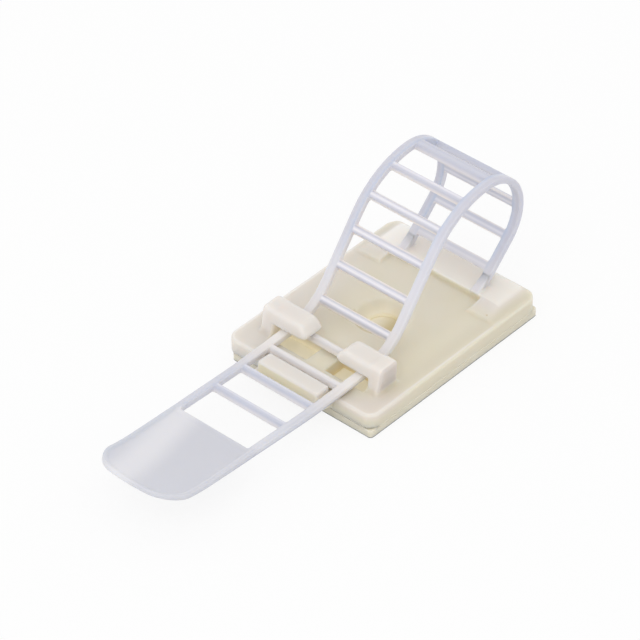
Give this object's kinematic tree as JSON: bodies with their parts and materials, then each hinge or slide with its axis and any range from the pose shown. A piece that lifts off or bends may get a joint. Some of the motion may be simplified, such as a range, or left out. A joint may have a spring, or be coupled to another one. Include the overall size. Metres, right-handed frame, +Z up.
{
  "type": "cable tie mount",
  "caption": "Adhesive and screw-down cable tie mount: a flat nylon base whose own ladder strap loops over the cables, runs under a pair of hooks and locks on a catch.",
  "frame": {"origin": "middle of the foam pad's underside outline of the base, directly under the screw hole", "axes": "+X along the strap toward its free grip end, +Y across the base, +Z up out of the mounting surface"},
  "size_m": [0.0512, 0.019, 0.0159],
  "materials": {
    "nylon": "natural nylon, slightly translucent, satin",
    "foam": "closed-cell foam, matte"
  },
  "bodies": {
    "root": {"tie_mount": "nylon", "adhesive_pad": "foam"}
  },
  "joints": []
}
